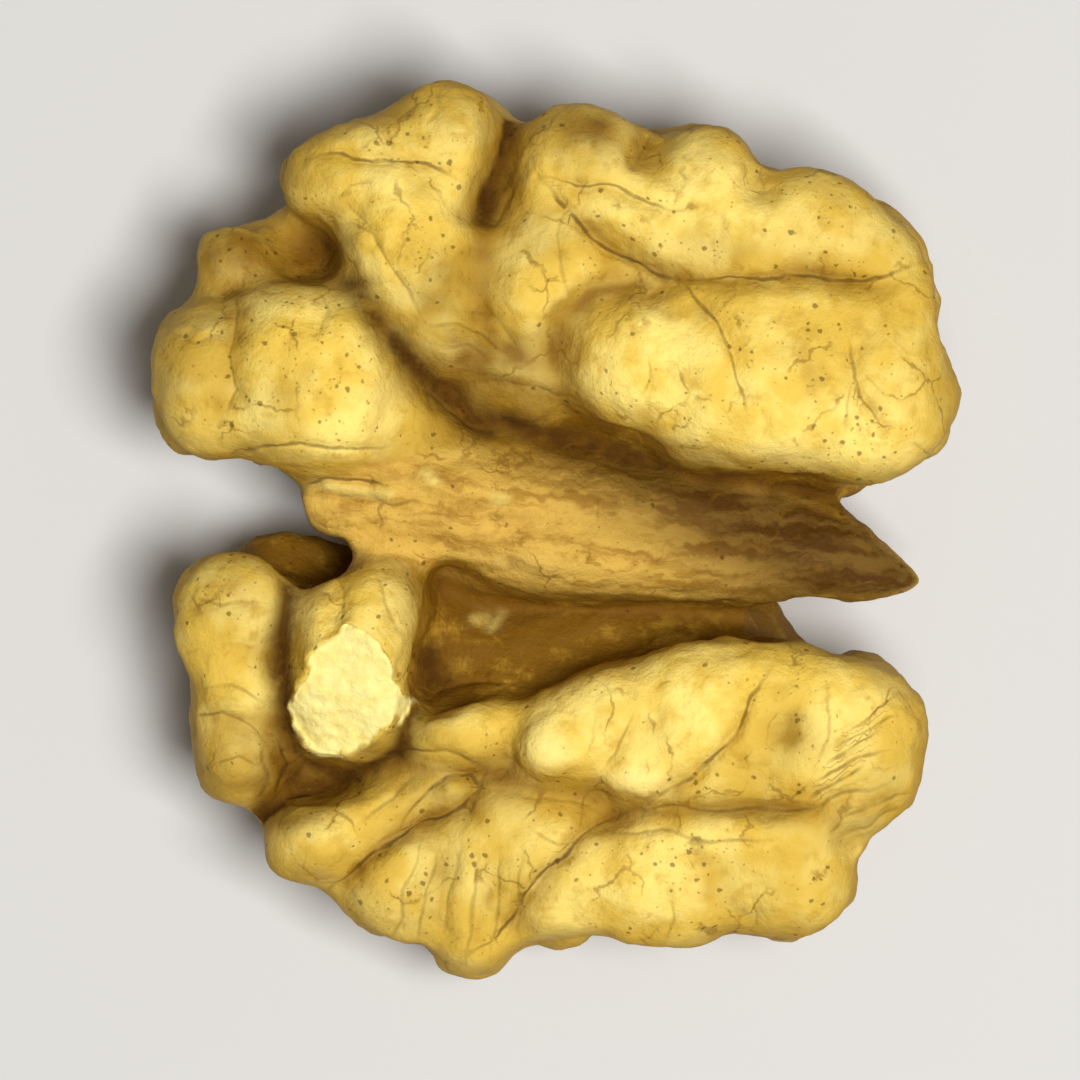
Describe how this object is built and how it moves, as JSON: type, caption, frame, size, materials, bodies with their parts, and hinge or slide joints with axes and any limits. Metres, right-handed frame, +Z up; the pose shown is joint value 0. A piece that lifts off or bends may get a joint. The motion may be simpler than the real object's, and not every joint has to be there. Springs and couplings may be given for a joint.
{
  "type": "walnut kernel",
  "caption": "Half of a walnut kernel, folded like a brain, lying on its rounded outer side with its lobed inner face up.",
  "frame": {"origin": "centre of the bounding box in plan, at the height of the small flats that the kernel rests on", "axes": "+X along the midline from the torn end to the free beak, +Y across both lobes, +Z up out of the lobed inner face"},
  "size_m": [0.0314, 0.0346, 0.0137],
  "materials": {
    "kernel_skin": "thin matt seed coat, pale golden yellow on the lobes and brown in the furrows, over cream flesh"
  },
  "bodies": {
    "root": {"kernel": "kernel_skin"}
  },
  "joints": []
}
